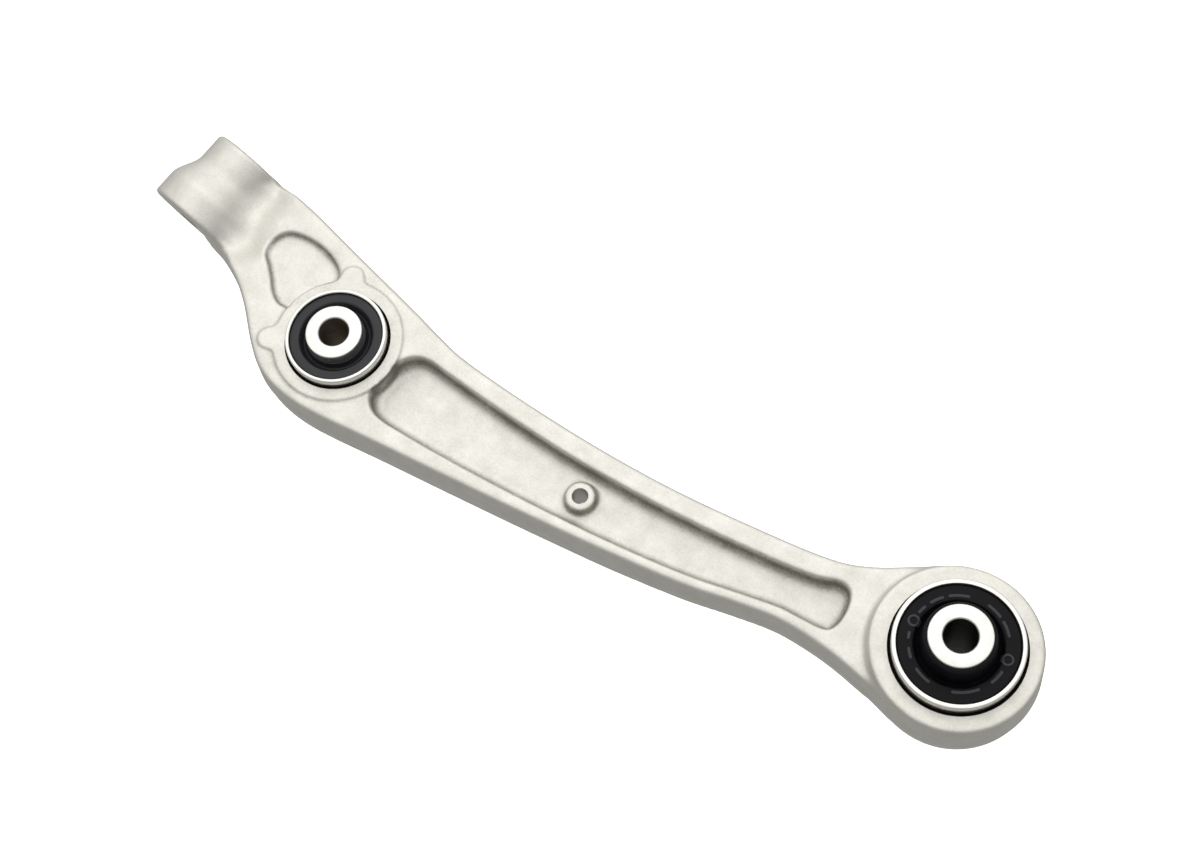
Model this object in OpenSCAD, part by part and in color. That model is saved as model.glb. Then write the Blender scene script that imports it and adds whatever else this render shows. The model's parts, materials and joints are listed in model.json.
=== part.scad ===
// Forged aluminium suspension control arm with two bonded rubber bushes.
// Frame: origin on the chassis bush axis at mid thickness of the beam, +Z along that
// axis, +X along the arm towards the knuckle eye, +Y towards the damper side of the beam.
// Both faces of the beam are alike, mirrored in the plane z = 0, but the back face rises
// a little towards the chassis eye. The chassis bush and its eye sit above that plane.

/* [Beam] */
// Half thickness of the rails of the I section
rail_half = 11.5; // [10:0.5:13]
// How far the flanks of the beam swell out from the face to the mid plane
flank_draft = 0.8; // [0.4:0.1:1.2]
// Depth of the back face of the beam beside the chassis eye
thin_back = 8.5; // [8:0.5:11]
// Depth of the long pocket below the rail face
long_pocket_depth = 7.7; // [5:0.1:9]
// Depth of the small pocket below the rail face
small_pocket_depth = 3; // [2:0.1:6]
// How far the pocket wall leans in over its upper part
wall_lean = 1; // [0.5:0.1:1.5]
// How far the foot of the pocket wall reaches in with its fillet
wall_foot = 3; // [2:0.1:4]
// How far the foot of the small pocket's wall reaches in
small_wall_foot = 1.8; // [1.2:0.1:2]

/* [Chassis bush] */
// Outside radius of the chassis eye of the forging at mid thickness
chassis_eye_r = 32.6; // [31.5:0.1:36]
// Height of the front face of the chassis eye above the middle of the beam
chassis_eye_front = 17.5; // [16:0.5:18]
// Depth of the back face of the chassis eye below the middle of the beam
chassis_eye_back = 9.5; // [9:0.5:12]
// Height of the middle of the chassis bush above the middle of the beam
chassis_mid = 2.5; // [0:0.5:3]
// Outside radius of the pressed-in outer sleeve
chassis_outer_r = 24.6; // [24:0.1:26]
// Wall of the outer sleeve
chassis_outer_wall = 2; // [1.5:0.1:2.5]
// Half length of the outer sleeve
chassis_outer_half = 20.7; // [19:0.1:22]
// Outside radius of the inner sleeve
chassis_inner_r = 12; // [11:0.1:14]
// Radius of the chassis bolt hole
chassis_bolt_r = 6.4; // [6:0.1:7]
// Half length of the inner sleeve
chassis_inner_half = 30; // [28:0.5:32]

/* [Damper bush] */
// Place of the damper bush axis along the arm
damper_x = 273.3; // [250:0.1:290]
// Place of the damper bush axis across the arm
damper_y = 25.9; // [20:0.1:30]
// Radius of the raised hub land round the bush
hub_r = 26.6; // [26:0.1:28]
// Half width of the hub
hub_half = 12.3; // [12:0.1:14]
// Radius of the two ears on the hub land
ear_r = 4.6; // [4:0.1:5]
// Distance of the ears from the bush axis
ear_reach = 28.7; // [27:0.1:30]
// Outside radius of the pressed-in outer sleeve
damper_outer_r = 20.7; // [20:0.1:22]
// Wall of the outer sleeve
damper_outer_wall = 1.6; // [1.5:0.1:2.5]
// Half length of the outer sleeve
damper_outer_half = 16.6; // [15:0.1:18]
// Outside radius of the inner sleeve
damper_inner_r = 11.5; // [11:0.1:13]
// Radius of the damper bolt hole
damper_bolt_r = 6.1; // [6:0.1:6.5]
// Half length of the inner sleeve
damper_inner_half = 20; // [18:0.5:22]

/* [Knuckle eye] */
// Centre of the knuckle eye along the arm
eye_x = 361.5; // [350:0.5:370]
// Centre of the knuckle eye across the arm
eye_y = -4.2; // [-8:0.1:0]
// Turn of the eye axis in the plane of the arm
eye_yaw = 7.4; // [0:0.1:12]
// Lean of the eye axis out of the plane of the arm
eye_lean = 8.5; // [0:0.5:12]
// Length of the eye
eye_len = 36.4; // [34:0.2:40]
// Radius of the slim end of the eye
eye_slim_r = 18.5; // [17:0.1:20]
// Radius of the wide end of the eye
eye_wide_r = 23.2; // [21:0.1:25]
// Length of the slim end
eye_slim_len = 12; // [11:0.5:15]
// Length of the wide end
eye_wide_len = 10.5; // [10:0.5:14]
// Radius of the taper hole at its small end
taper_small_r = 7.6; // [7:0.1:8.5]
// Radius of the taper hole at its large end, one in ten on the diameter
taper_large_r = 9.45; // [8.5:0.05:10.5]

/* [Sensor boss] */
// Place of the boss along the arm
boss_x = 153.3; // [140:0.1:170]
// Place of the boss across the arm
boss_y = 25.7; // [24:0.1:27]
// Height of the boss face from the mid plane
boss_half = 8; // [7:0.1:9]
// Radius of the boss at its foot
boss_foot_r = 7.6; // [7:0.1:8]
// Radius of the boss at its face
boss_face_r = 6; // [5:0.1:6.5]
// Radius of the sensor link hole
sensor_hole_r = 3.1; // [2.5:0.1:4]

/* [Hidden] */
$fn = 96;
// Radial gap that lets an inner sleeve turn in its rubber
turn_gap = 0.05;
// Points that the curve puts on each span between two design points
span_steps = 4;
// Overshoot of every cutting solid past the face that it cuts
cut = 1;
// Lean of the side of the chassis eye above the mid plane, as width per height
eye_front_draft = 0.05;
// Lean of the side of the chassis eye below the mid plane
eye_back_draft = 0.14;
// How far the middle of the chassis eye is from its bore, towards +Y
eye_shift = 0.3;
// The back face starts to rise at this place along the arm
thin_from = 130;
// From this place to the chassis eye the back face is level again
thin_to = 95;
// Edge break on both eyes
eye_edge = 1.2;
// How much wider the boss is at the mid plane than at its foot on the web
boss_root = 0.5;
// How far the rubber land lies below the lip of the outer sleeve
rubber_sink = 1;
// Run of the slope from the rubber land down to the groove
groove_run = 1.5;
// Groove of the chassis rubber: its outer and inner radius, and its depth below the lip
chassis_groove_out_r = 16.6;
chassis_groove_in_r = 14.6;
chassis_groove_sink = 3.5;
// Collar of the chassis rubber: its width, and how far it stops short of the sleeve end
chassis_collar_w = 1.4;
chassis_collar_sink = 1.2;
// Groove of the damper rubber: its outer and inner radius, and its depth below the lip
damper_groove_out_r = 15.2;
damper_groove_in_r = 13;
damper_groove_sink = 4;
// Collar of the damper rubber: its width, and how far it stays below the lip
damper_collar_w = 0.8;
damper_collar_sink = 1.5;
// Edge break on the sleeves
sleeve_chamfer = 0.8;
// Mid depth of the two-step pocket wall, as a share of the pocket depth
wall_break = 0.65;
// Depth of the lead-in at the mouth of a sleeve hole
lead_depth = 3;
// Width of the lead-in of the chassis sleeve hole
chassis_lead_w = 1.25;
// Width of the lead-in of the damper sleeve hole
damper_lead_w = 1.05;
// Angles of the two hub ears about the bush axis
ear_angles = [30.6, -64.2];

// Edge of the rail face on its -Y side, from the chassis eye to the knuckle eye
lower_edge = [
    [12, -29.6], [20, -27], [30, -20.2], [45, -10.4], [60, -4.9], [90, 0], [125, 4.2],
    [160, 6], [195, 5.9], [225, 4.4], [240, 1.7], [255, -1.8], [290, -9.3], [325, -16.7], [357, -20.2]
];
// Edge of the rail face on its +Y side, from the chassis eye to the knuckle eye
upper_edge = [
    [10, 29], [22, 28.2], [36, 26.2], [50, 25.4], [64, 26.2], [80, 29.7], [100, 34.6],
    [130, 39.6], [165, 44.5], [200, 48.9], [235, 53.1], [258, 56.1], [272, 57],
    [284, 55.8], [294, 52.4], [304, 45.4], [318, 33], [330, 25], [343, 19.2], [358, 15]
];
// Rim of the long pocket, as a closed loop
long_rim = [
    [45, 19.3], [54, 20.6], [64, 21.5], [80, 25.3], [100, 30.2], [130, 35.2], [165, 39.3],
    [200, 42.3], [225, 43.6], [239, 43.6], [246, 40.5], [249, 34], [248, 24], [244.8, 16.5],
    [238, 12.6], [225, 13.1], [200, 14.3], [170, 14.9], [140, 13.8], [110, 11.3], [80, 7.5],
    [60, 3.9], [51, 0.5], [46, 1], [43.3, 4.5], [42, 10], [42.3, 15.5]
];
// Rim of the small pocket beside the hub, as a closed loop
small_rim = [
    [298, 24.5], [302, 26.2], [306, 26], [310.7, 23.2], [315.3, 18.6], [319.6, 14.8],
    [324, 11.2], [325.5, 7], [324.6, 1.5], [321, -2.8], [314.5, -4.6], [307, -4.9],
    [299.5, -3.4], [293.5, -0.6], [290.5, 3.5], [292, 11]
];

// One span of a smooth curve through b and c, with a and d as neighbours
function span(a, b, c, d) = [
    for (i = [0 : span_steps - 1])
        let (t = i / span_steps)
        b + t / 2 * ((c - a) + t * ((2 * a - 5 * b + 4 * c - d) + t * (3 * b - a - 3 * c + d)))
];
// Smooth open curve through the points p
function open_curve(p) = [
    for (i = [0 : len(p) - 2])
        each span(p[max(i - 1, 0)], p[i], p[i + 1], p[min(i + 2, len(p) - 1)]),
    p[len(p) - 1]
];
// Smooth closed curve through the points p
function closed_curve(p) = [
    for (i = [0 : len(p) - 1])
        each span(p[(i + len(p) - 1) % len(p)], p[i], p[(i + 1) % len(p)], p[(i + 2) % len(p)])
];
function reversed(p) = [for (i = [len(p) - 1 : -1 : 0]) p[i]];
// Unit vector a quarter turn to the right of v
function right_of(v) = [v[1], -v[0]] / norm(v);
// Clockwise closed loop p moved inwards by d
function inset(p, d) = [
    for (i = [0 : len(p) - 1])
        p[i] + d * right_of(p[(i + 1) % len(p)] - p[(i + len(p) - 1) % len(p)])
];

// Plate that carries the rails, a prism of the outline of the beam with a swollen middle
module beam_plate() {
    outline = concat(open_curve(upper_edge), reversed(open_curve(lower_edge)));
    translate([0, 0, -rail_half])
        linear_extrude(height = 2 * rail_half)
            polygon(outline);
    translate([0, 0, -rail_half / 2])
        linear_extrude(height = rail_half)
            polygon(inset(outline, -flank_draft));
}

// Boss of the chassis eye, widest at the mid plane, with drafted sides and broken edges
module chassis_eye() {
    front = chassis_eye_front;
    back = -chassis_eye_back;
    front_r = chassis_eye_r - eye_front_draft * front;
    back_r = chassis_eye_r + eye_back_draft * back;
    translate([0, eye_shift, 0])
        rotate_extrude()
        polygon([
            [0, back],
            [back_r - eye_edge, back],
            [back_r, back + eye_edge],
            [chassis_eye_r, 0],
            [front_r, front - eye_edge],
            [front_r - eye_edge, front],
            [0, front]
        ]);
}

// Cutter for one pocket in the +Z face, with a two-step wall that stands for its fillet
module pocket(rim, depth, foot) {
    loop = closed_curve(rim);
    translate([0, 0, rail_half - depth * wall_break])
        linear_extrude(height = depth * wall_break + cut)
            polygon(inset(loop, wall_lean));
    translate([0, 0, rail_half - depth])
        linear_extrude(height = depth)
            polygon(inset(loop, foot));
}

// Cutter that takes the back of the beam off beside the chassis eye, with a ramp
module back_relief() {
    translate([0, 100, 0])
        rotate([90, 0, 0])
            linear_extrude(height = 200)
                polygon([
                    [-60, -rail_half - 5],
                    [thin_from, -rail_half - 5],
                    [thin_from, -rail_half],
                    [thin_to, -thin_back],
                    [-60, -thin_back]
                ]);
}

module both_faces() {
    children();
    mirror([0, 0, 1])
        children();
}

// Raised land round the damper bush, with its two ears
module damper_hub() {
    translate([damper_x, damper_y, -hub_half]) {
        cylinder(r = hub_r, h = 2 * hub_half);
        for (angle = ear_angles)
            rotate(angle)
                translate([ear_reach, 0, 0])
                    cylinder(r = ear_r, h = 2 * hub_half);
    }
}

// Puts children, made along +Z, on the axis of the knuckle eye with +Z at its wide end
module on_eye_axis() {
    translate([eye_x, eye_y, 0])
        rotate(-eye_yaw)
            rotate([-90 - eye_lean, 0, 0])
                children();
}

// Body of the knuckle eye: a slim end, a flare and a wide end, turned about the eye axis
module knuckle_eye() {
    half = eye_len / 2;
    edge = eye_edge;
    on_eye_axis()
        rotate_extrude()
            polygon([
                [0, -half],
                [eye_slim_r - edge, -half],
                [eye_slim_r, -half + edge],
                [eye_slim_r, -half + eye_slim_len],
                [eye_wide_r, half - eye_wide_len],
                [eye_wide_r, half - edge],
                [eye_wide_r - edge, half],
                [0, half]
            ]);
}

// Taper hole for a ball stud, large end at the wide end of the eye
module knuckle_taper() {
    half = eye_len / 2;
    slope = (taper_large_r - taper_small_r) / eye_len;
    on_eye_axis()
        translate([0, 0, -half - cut])
            cylinder(r1 = taper_small_r - slope * cut, r2 = taper_large_r + slope * cut,
                     h = eye_len + 2 * cut);
}

// Low cone on each side of the web round the sensor link hole
module sensor_boss() {
    translate([boss_x, boss_y, 0])
        both_faces()
            cylinder(r1 = boss_foot_r + boss_root, r2 = boss_face_r, h = boss_half);
}

// Hole for a pressed-in sleeve through a boss with its faces at those heights, with a steep
// lead-in at both mouths
module sleeve_hole(r, front, back, lead_w) {
    mouth_r = r + lead_w * (lead_depth + cut) / lead_depth;
    rotate_extrude()
        polygon([
            [0, back - cut],
            [mouth_r, back - cut],
            [r, back + lead_depth],
            [r, front - lead_depth],
            [mouth_r, front + cut],
            [0, front + cut]
        ]);
}

module arm_forging() color("gainsboro") {
    difference() {
        union() {
            difference() {
                beam_plate();
                back_relief();
                both_faces() {
                    pocket(long_rim, long_pocket_depth, wall_foot);
                    pocket(small_rim, small_pocket_depth, small_wall_foot);
                }
            }
            chassis_eye();
            damper_hub();
            knuckle_eye();
            sensor_boss();
        }
        sleeve_hole(chassis_outer_r, chassis_eye_front, -chassis_eye_back, chassis_lead_w);
        at_damper()
            sleeve_hole(damper_outer_r, hub_half, -hub_half, damper_lead_w);
        translate([boss_x, boss_y, -boss_half - cut])
            cylinder(r = sensor_hole_r, h = 2 * (boss_half + cut));
        knuckle_taper();
    }
}

// Tube about +Z with its four edges broken
module tube(outer_r, inner_r, half) {
    c = min(sleeve_chamfer, (outer_r - inner_r) / 3);
    rotate_extrude()
        polygon([
            [inner_r, -half + c],
            [inner_r + c, -half],
            [outer_r - c, -half],
            [outer_r, -half + c],
            [outer_r, half - c],
            [outer_r - c, half],
            [inner_r + c, half],
            [inner_r, half - c]
        ]);
}

// Moulded rubber between two sleeves: a flat land at the outer sleeve, a groove, and a
// collar that climbs the inner sleeve
module rubber_ring(outer_r, inner_r, land_h, groove_out_r, groove_in_r, groove_h, collar_r, collar_h) {
    upper = [
        [outer_r, land_h],
        [groove_out_r, land_h],
        [groove_out_r - groove_run, groove_h],
        [groove_in_r, groove_h],
        [collar_r, collar_h],
        [inner_r, collar_h]
    ];
    lower = [for (i = [len(upper) - 1 : -1 : 0]) [upper[i][0], -upper[i][1]]];
    rotate_extrude()
        polygon(concat(upper, lower));
}

module at_chassis() {
    translate([0, 0, chassis_mid])
        children();
}

module at_damper() {
    translate([damper_x, damper_y, 0])
        children();
}

module chassis_outer_sleeve() color("silver")
    at_chassis()
        tube(chassis_outer_r, chassis_outer_r - chassis_outer_wall, chassis_outer_half);

module chassis_rubber() color("black")
    at_chassis()
        rubber_ring(chassis_outer_r - chassis_outer_wall, chassis_inner_r + turn_gap,
                    chassis_outer_half - rubber_sink, chassis_groove_out_r, chassis_groove_in_r,
                    chassis_outer_half - chassis_groove_sink,
                    chassis_inner_r + chassis_collar_w, chassis_inner_half - chassis_collar_sink);

module chassis_inner_sleeve() color("whitesmoke")
    at_chassis()
        tube(chassis_inner_r, chassis_bolt_r, chassis_inner_half);

module damper_outer_sleeve() color("silver")
    at_damper()
        tube(damper_outer_r, damper_outer_r - damper_outer_wall, damper_outer_half);

module damper_rubber() color("black")
    at_damper()
        rubber_ring(damper_outer_r - damper_outer_wall, damper_inner_r + turn_gap,
                    damper_outer_half - rubber_sink, damper_groove_out_r, damper_groove_in_r,
                    damper_outer_half - damper_groove_sink,
                    damper_inner_r + damper_collar_w, damper_outer_half - damper_collar_sink);

module damper_inner_sleeve() color("whitesmoke")
    at_damper()
        tube(damper_inner_r, damper_bolt_r, damper_inner_half);

arm_forging();
chassis_outer_sleeve();
chassis_rubber();
chassis_inner_sleeve();
damper_outer_sleeve();
damper_rubber();
damper_inner_sleeve();
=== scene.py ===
# %% [markdown]
# # A forged suspension control arm
# The object is one aluminium forging with two bonded rubber bushes pressed into it. The forging
# came out of a pair of dies, was shot blasted all over, and was then bored for its bushes, its
# sensor link and the tapered stud of the knuckle joint. This lesson builds each piece in that
# order: the forging as a solid given by a distance formula, then the cuts of the machining,
# then the turned and moulded rings of the bushes. All lengths here are in millimetres and
# become metres at the moment a mesh is made.

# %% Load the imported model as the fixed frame
import json
import math

import bpy
import numpy as np
from mathutils import Matrix, Vector


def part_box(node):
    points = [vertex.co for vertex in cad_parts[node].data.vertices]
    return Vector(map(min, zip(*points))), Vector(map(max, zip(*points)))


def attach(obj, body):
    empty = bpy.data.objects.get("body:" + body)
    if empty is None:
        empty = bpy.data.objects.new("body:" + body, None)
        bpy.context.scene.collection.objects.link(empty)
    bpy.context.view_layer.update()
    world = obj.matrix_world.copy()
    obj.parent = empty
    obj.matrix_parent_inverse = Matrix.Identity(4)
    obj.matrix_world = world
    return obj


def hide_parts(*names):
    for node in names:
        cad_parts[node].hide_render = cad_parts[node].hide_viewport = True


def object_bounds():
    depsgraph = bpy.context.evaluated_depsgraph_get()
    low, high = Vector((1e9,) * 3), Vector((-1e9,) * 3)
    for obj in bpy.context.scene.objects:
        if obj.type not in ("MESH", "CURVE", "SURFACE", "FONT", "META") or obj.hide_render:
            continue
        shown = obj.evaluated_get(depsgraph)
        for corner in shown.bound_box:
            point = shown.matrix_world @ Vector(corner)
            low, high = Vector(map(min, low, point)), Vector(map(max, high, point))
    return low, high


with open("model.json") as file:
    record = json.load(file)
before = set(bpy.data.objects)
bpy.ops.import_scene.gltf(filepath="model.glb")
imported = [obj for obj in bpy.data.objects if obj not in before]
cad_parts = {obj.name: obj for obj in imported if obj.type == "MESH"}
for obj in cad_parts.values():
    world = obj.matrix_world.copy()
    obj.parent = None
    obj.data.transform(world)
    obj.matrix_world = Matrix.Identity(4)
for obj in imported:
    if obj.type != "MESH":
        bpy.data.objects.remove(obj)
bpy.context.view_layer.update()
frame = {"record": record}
MM = 0.001

# %% Read the places and sizes that the frame holds
mounts = {m["name"]: m for m in frame["record"]["mounts"]}


def mount_place(name):
    """The middle of a mount, in millimetres."""
    return np.array(mounts[name]["pos_m"]) / MM


def node_span(node):
    """Lowest and highest corner of a CAD node, in millimetres."""
    low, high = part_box(node)
    return np.array(low) / MM, np.array(high) / MM


chassis = mount_place("chassis_bore")
damper = mount_place("damper_bore")
sensor = mount_place("sensor_hole")
knuckle = mount_place("knuckle_taper")
knuckle_axis = np.array(mounts["knuckle_taper"]["axis"])
print("damper bush at", damper, "knuckle eye at", knuckle)

# %% [markdown]
# ## The camera
# The view is from above the arm, with the knuckle eye at the top left and the chassis bush at
# the bottom right. The camera could be placed by a rotation matrix, but a target, two angles, a
# roll and a distance say the same and can be read by a person.

# %% Place the camera
aim = Vector((166.5, -5.2, 0.0)) * MM
azimuth, elevation, roll = math.radians(137.81), math.radians(66.80), math.radians(-13.62)
distance = 810.1 * MM
towards_camera = Vector((
    math.cos(elevation) * math.cos(azimuth),
    math.cos(elevation) * math.sin(azimuth),
    math.sin(elevation),
))
camera = bpy.data.objects.new("camera", bpy.data.cameras.new("camera"))
bpy.context.collection.objects.link(camera)
camera.data.sensor_width = 36.0
camera.data.lens = 61.14
camera.data.clip_start, camera.data.clip_end = 0.01, 20.0
level = (-towards_camera).to_track_quat("-Z", "Y").to_matrix().to_4x4()
camera.matrix_world = (
    Matrix.Translation(aim + towards_camera * distance) @ level @ Matrix.Rotation(roll, 4, "Z")
)
bpy.context.scene.camera = camera
print("camera right:", [round(v, 4) for v in camera.matrix_world.col[0][:3]])
print("camera up:", [round(v, 4) for v in camera.matrix_world.col[1][:3]])

# %% [markdown]
# ## Putting numpy arrays into meshes
# Every new piece is worked out as arrays of points and of faces. One function puts them in a
# mesh, and a second one gives the piece its material, hangs it on the body that carries it and
# hides the CAD solid it stands for.

# %% Make a mesh from arrays
def mesh_piece(name, points, faces):
    """A smooth shaded object from an array of points in millimetres and a list of face arrays."""
    mesh = bpy.data.meshes.new(name)
    mesh.from_pydata((points * MM).tolist(), [], faces)
    mesh.validate()
    mesh.polygons.foreach_set("use_smooth", np.ones(len(mesh.polygons), dtype=bool))
    mesh.update()
    piece = bpy.data.objects.new(name, mesh)
    bpy.context.collection.objects.link(piece)
    print(name, len(mesh.vertices), "points,", len(mesh.polygons), "faces")
    return piece


def stand_in(piece, node, body, material):
    """Gives the piece its material, hangs it on the body that carries it and hides the CAD part it
    replaces.
    """
    piece.data.materials.clear()
    piece.data.materials.append(material)
    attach(piece, body)
    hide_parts(node)


# %% [markdown]
# ## Outlines
# A die maker draws the plan of a forging as smooth curves through a few chosen points. A spline
# that passes through its points keeps those points meaningful: each one is a place where the
# edge of the arm really is. The same points are in the CAD source.

# %% Curves through chosen points
def curve(points, closed, steps=8):
    """A Catmull-Rom curve: on each span p1 to p2 the point at t in 0..1 is half of
    2 p1 + (p2 - p0) t + (2 p0 - 5 p1 + 4 p2 - p3) t^2 + (3 p1 - p0 - 3 p2 + p3) t^3."""
    p = np.array(points, dtype=float)
    if closed:
        p = np.concatenate([p[-1:], p, p[:2]])
    else:
        p = np.concatenate([2 * p[:1] - p[1:2], p, 2 * p[-1:] - p[-2:-1]])
    t = (np.arange(steps) / steps)[None, :, None]
    p0, p1, p2, p3 = [p[i:len(p) - 3 + i, None, :] for i in range(4)]
    spans = p1 + 0.5 * ((p2 - p0) * t + (2 * p0 - 5 * p1 + 4 * p2 - p3) * t ** 2
                        + (3 * p1 - p0 - 3 * p2 + p3) * t ** 3)
    whole = spans.reshape(-1, 2)
    return whole if closed else np.concatenate([whole, p[-2:-1]])


lower_edge = [
    [12, -29.6], [20, -27], [30, -20.2], [45, -10.4], [60, -4.9], [90, 0], [125, 4.2],
    [160, 6], [195, 5.9], [225, 4.4], [240, 1.7], [255, -1.8], [290, -9.3], [325, -16.7],
    [357, -20.2],
]
upper_edge = [
    [10, 29], [22, 28.2], [36, 26.2], [50, 25.4], [64, 26.2], [80, 29.7], [100, 34.6],
    [130, 39.6], [165, 44.5], [200, 48.9], [235, 53.1], [258, 56.1], [272, 57], [284, 55.8],
    [294, 52.4], [304, 45.4], [318, 33], [330, 25], [343, 19.2], [358, 15],
]
long_rim = [
    [45, 19.3], [54, 20.6], [64, 21.5], [80, 25.3], [100, 30.2], [130, 35.2], [165, 39.3],
    [200, 42.3], [225, 43.6], [239, 43.6], [246, 40.5], [249, 34], [248, 24], [244.8, 16.5],
    [238, 12.6], [225, 13.1], [200, 14.3], [170, 14.9], [140, 13.8], [110, 11.3], [80, 7.5],
    [60, 3.9], [51, 0.5], [46, 1], [43.3, 4.5], [42, 10], [42.3, 15.5],
]
small_rim = [
    [298, 24.5], [302, 26.2], [306, 26], [310.7, 23.2], [315.3, 18.6], [319.6, 14.8],
    [324, 11.2], [325.5, 7], [324.6, 1.5], [321, -2.8], [314.5, -4.6], [307, -4.9],
    [299.5, -3.4], [293.5, -0.6], [290.5, 3.5], [292, 11],
]
beam_loop = np.concatenate([curve(lower_edge, False), curve(upper_edge, False)[::-1]])
long_loop = curve(long_rim, True)
small_loop = curve(small_rim, True)
print("beam outline:", len(beam_loop), "points; pockets:", len(long_loop), len(small_loop))

# %% Distance to an outline
def loop_distance(x, y, loop):
    """Distance from each point to the nearest side of a closed outline, negative inside it.
    Inside is where a ray along +X crosses the outline an odd number of times."""
    nearest = np.full(x.shape, 1e9)
    inside = np.zeros(x.shape, dtype=bool)
    for (ax, ay), (bx, by) in zip(loop, np.roll(loop, -1, axis=0)):
        dx, dy = bx - ax, by - ay
        along = np.clip(((x - ax) * dx + (y - ay) * dy) / (dx * dx + dy * dy), 0, 1)
        nearest = np.minimum(nearest, (x - ax - along * dx) ** 2 + (y - ay - along * dy) ** 2)
        if dy != 0:
            inside ^= ((ay > y) != (by > y)) & (x < ax + (y - ay) / dy * dx)
    return np.where(inside, -1.0, 1.0) * np.sqrt(nearest)


# %% [markdown]
# ## Joining solids with fillets
# A forging has no sharp corner, because the metal would not fill it and the die would crack.
# Distance formulas make such fillets easily: where two surfaces meet, the corner is replaced by
# the circle that touches both.

# %% Rounded joins of two distances
def fillet_join(a, b, r):
    """Both solids together, with a hollow fillet of radius r in the corner between them."""
    corner = np.hypot(np.maximum(r - a, 0), np.maximum(r - b, 0))
    return np.maximum(r, np.minimum(a, b)) - corner


def round_overlap(a, b, r):
    """The part that is in both solids, with its edge rounded to radius r."""
    corner = np.hypot(np.maximum(r + a, 0), np.maximum(r + b, 0))
    return np.minimum(-r, np.maximum(a, b)) + corner


def ring_distance(x, y, centre, radius):
    """Distance to a circle in the plan, negative inside it."""
    return np.hypot(x - centre[0], y - centre[1]) - radius


# %% [markdown]
# ## The forging as one formula
# The beam is an I section laid flat: two rails and a thin web, with draft on every wall so that
# it leaves the die. A hub, a sensor boss and two eyes grow out of it. Modelling it with faces
# and bevels would need hundreds of hand-made joins where pockets, hub and eyes run together.
# One formula for the whole solid gives all those fillets at once.
#
# Three details are easy to miss. The back of the beam rises beside the chassis eye, so that the
# rails are thinner there. The eye itself is drawn out a little on the side of the beam. And the
# dies press a shallow dip into each face of the rails beside the neck of the knuckle eye.

# %% Sizes of the forging
# A name that ends in _r is a radius, and one that ends in _half is half of a thickness.
# flank_draft and wall_lean say how far the flank and the pocket walls lean out over their whole
# height, in millimetres, and the other drafts are slopes.
rail_half = 11.5
flank_draft = 0.8
rail_edge_r = 1.9
pocket_lip_r = 0.9
wall_lean = 1.0
long_floor, long_foot_r = 3.8, 3.7
small_floor, small_foot_r = 8.5, 2.0
hub_r, hub_half, hub_edge_r, hub_fillet_r, hub_draft = 26.6, 12.3, 0.5, 0.7, 0.04
ear_r, ear_reach, ear_angles, ear_web_r = 4.6, 28.7, (30.6, -64.2), 3.5
boss_half, boss_foot_r, boss_face_r, boss_edge_r = 8.0, 6.7, 5.9, 0.6
boss_rise, boss_fillet_r = 4.0, 1.3
eye_front, eye_back, eye_r, eye_shift, eye_draw = 17.5, 9.5, 32.6, 0.3, 0.96
eye_front_draft, eye_back_draft, eye_edge_r, eye_fillet_r = 0.05, 0.14, 1.2, 3.0
thin_back, thin_until, thick_from = 8.5, 85.0, 140.0
eye_len, slim_r, slim_len, wide_r, wide_len, knuckle_edge_r = 36.4, 18.5, 12.0, 23.2, 10.5, 1.8
knuckle_ease = 0.92
neck_fillet_r, neck_side_r, neck_run = 7.5, 1.2, 6.0
dips, dip_r, dip_depth, dip_lip_r = ((342.5, -8.8), (338.5, 10.4)), 9.0, 3.2, 6.0
print("beam", 2 * rail_half, "mm thick, hub", 2 * hub_half, "mm, eye", eye_front + eye_back, "mm")


# %% Plan distances, which do not depend on height
def plan(x, y):
    """Distances in the plan to the beam outline, both pocket rims and the hub with its ears."""
    hub = ring_distance(x, y, damper, hub_r)
    for angle in ear_angles:
        turn = math.radians(angle)
        ear = damper[:2] + ear_reach * np.array([math.cos(turn), math.sin(turn)])
        hub = fillet_join(hub, ring_distance(x, y, ear, ear_r), ear_web_r)
    return [
        loop_distance(x, y, beam_loop),
        loop_distance(x, y, long_loop),
        loop_distance(x, y, small_loop),
        hub,
    ]


# %% The knuckle eye, turned about its tilted axis
def knuckle_eye(x, y, z):
    """Along its axis h and out from it r: a slim drum at one end and a wide drum at the other,
    with a smooth ramp between them, cut flat at both ends and rounded at the edges. The ramp
    leans, so r less its radius is more than the true distance, and knuckle_ease takes that
    back."""
    dx, dy, dz = x - knuckle[0], y - knuckle[1], z - knuckle[2]
    h = dx * knuckle_axis[0] + dy * knuckle_axis[1] + dz * knuckle_axis[2]
    r = np.sqrt(np.maximum(dx * dx + dy * dy + dz * dz - h * h, 0))
    start, end = slim_len - eye_len / 2, eye_len / 2 - wide_len
    ramp = np.clip((h - start) / (end - start), 0, 1)
    side = r - (slim_r + (wide_r - slim_r) * ramp * ramp * (3 - 2 * ramp))
    return round_overlap(side * knuckle_ease, np.abs(h) - eye_len / 2, knuckle_edge_r)


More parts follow.
